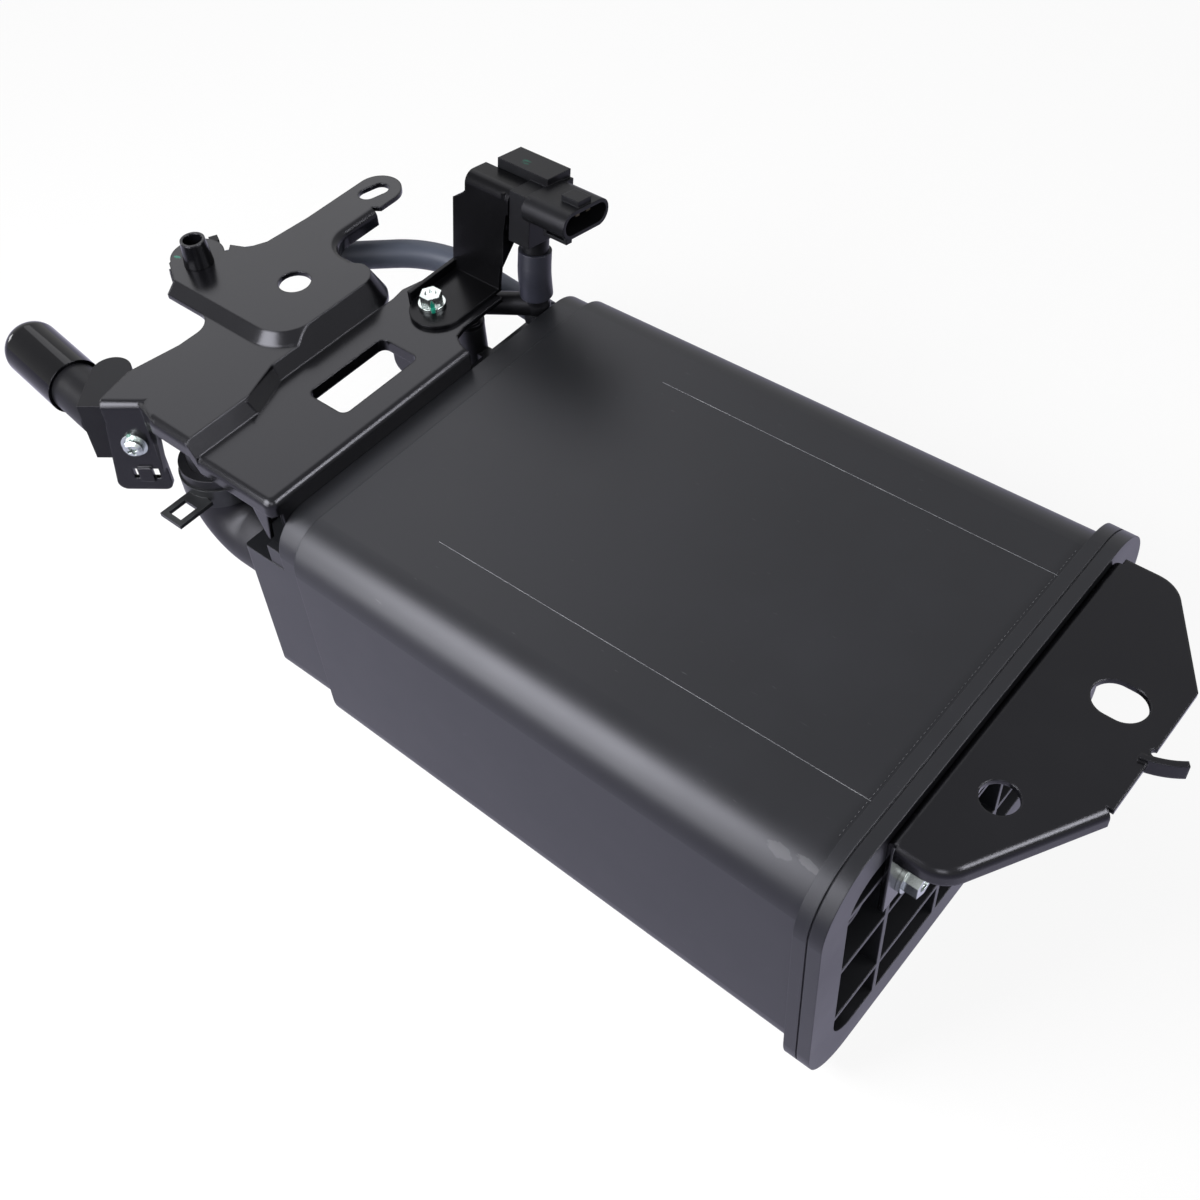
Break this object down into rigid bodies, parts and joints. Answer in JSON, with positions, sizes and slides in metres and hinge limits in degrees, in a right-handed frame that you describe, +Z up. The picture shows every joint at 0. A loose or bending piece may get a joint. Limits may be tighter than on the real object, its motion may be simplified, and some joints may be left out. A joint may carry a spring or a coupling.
{
  "type": "charcoal canister",
  "caption": "Box-shaped fuel vapour canister with stamped mounting brackets at both ends, a pressure sensor, vent hoses and a capped outlet.",
  "frame": {"origin": "middle of the seam flange's underside, in the plane where shell and end cap meet", "axes": "+X along the canister towards the end cap, +Y across it, +Z up from the flange to the brackets"},
  "size_m": [0.4378, 0.1872, 0.1615],
  "materials": {
    "moulded_shell": "satin moulded black",
    "carbon": "pelleted carbon",
    "inner_plastic": "moulded black",
    "filter_felt": "needled felt",
    "spring_steel": "blackened spring steel",
    "painted_steel": "satin black dip coat",
    "zinc_steel": "bright zinc plate",
    "sensor_plastic": "fine moulded black",
    "terminal_brass": "stamped",
    "grey_rubber": "extruded grey rubber",
    "black_rubber": "moulded rubber",
    "dust_cap_vinyl": "glossy dipped vinyl"
  },
  "bodies": {
    "root": {"canister_body": "moulded_shell", "end_cap": "moulded_shell", "main_charcoal_bed": "carbon", "second_charcoal_bed": "carbon", "support_grids": "inner_plastic", "pressure_plates": "inner_plastic", "far_filters": "filter_felt", "near_filters": "filter_felt", "bed_springs": "spring_steel", "rear_bracket": "painted_steel", "front_bracket": "painted_steel", "bracket_collar": "painted_steel", "sensor_bracket": "painted_steel", "rear_bracket_bolts": "zinc_steel", "front_bracket_screws": "zinc_steel", "sensor_bracket_screw": "zinc_steel", "vent_valve_screw": "zinc_steel", "sensor_weld_nut": "zinc_steel", "pressure_sensor": "sensor_plastic", "sensor_elbow": "sensor_plastic", "vent_valve": "sensor_plastic", "hose_joiner": "sensor_plastic", "hose_clip": "sensor_plastic", "sensor_terminals": "terminal_brass", "sensor_hose": "grey_rubber", "vent_hose": "grey_rubber", "air_hose": "black_rubber", "dust_cap": "dust_cap_vinyl", "vent_hose_clamps": "spring_steel", "air_hose_clamp": "spring_steel"}
  },
  "joints": []
}
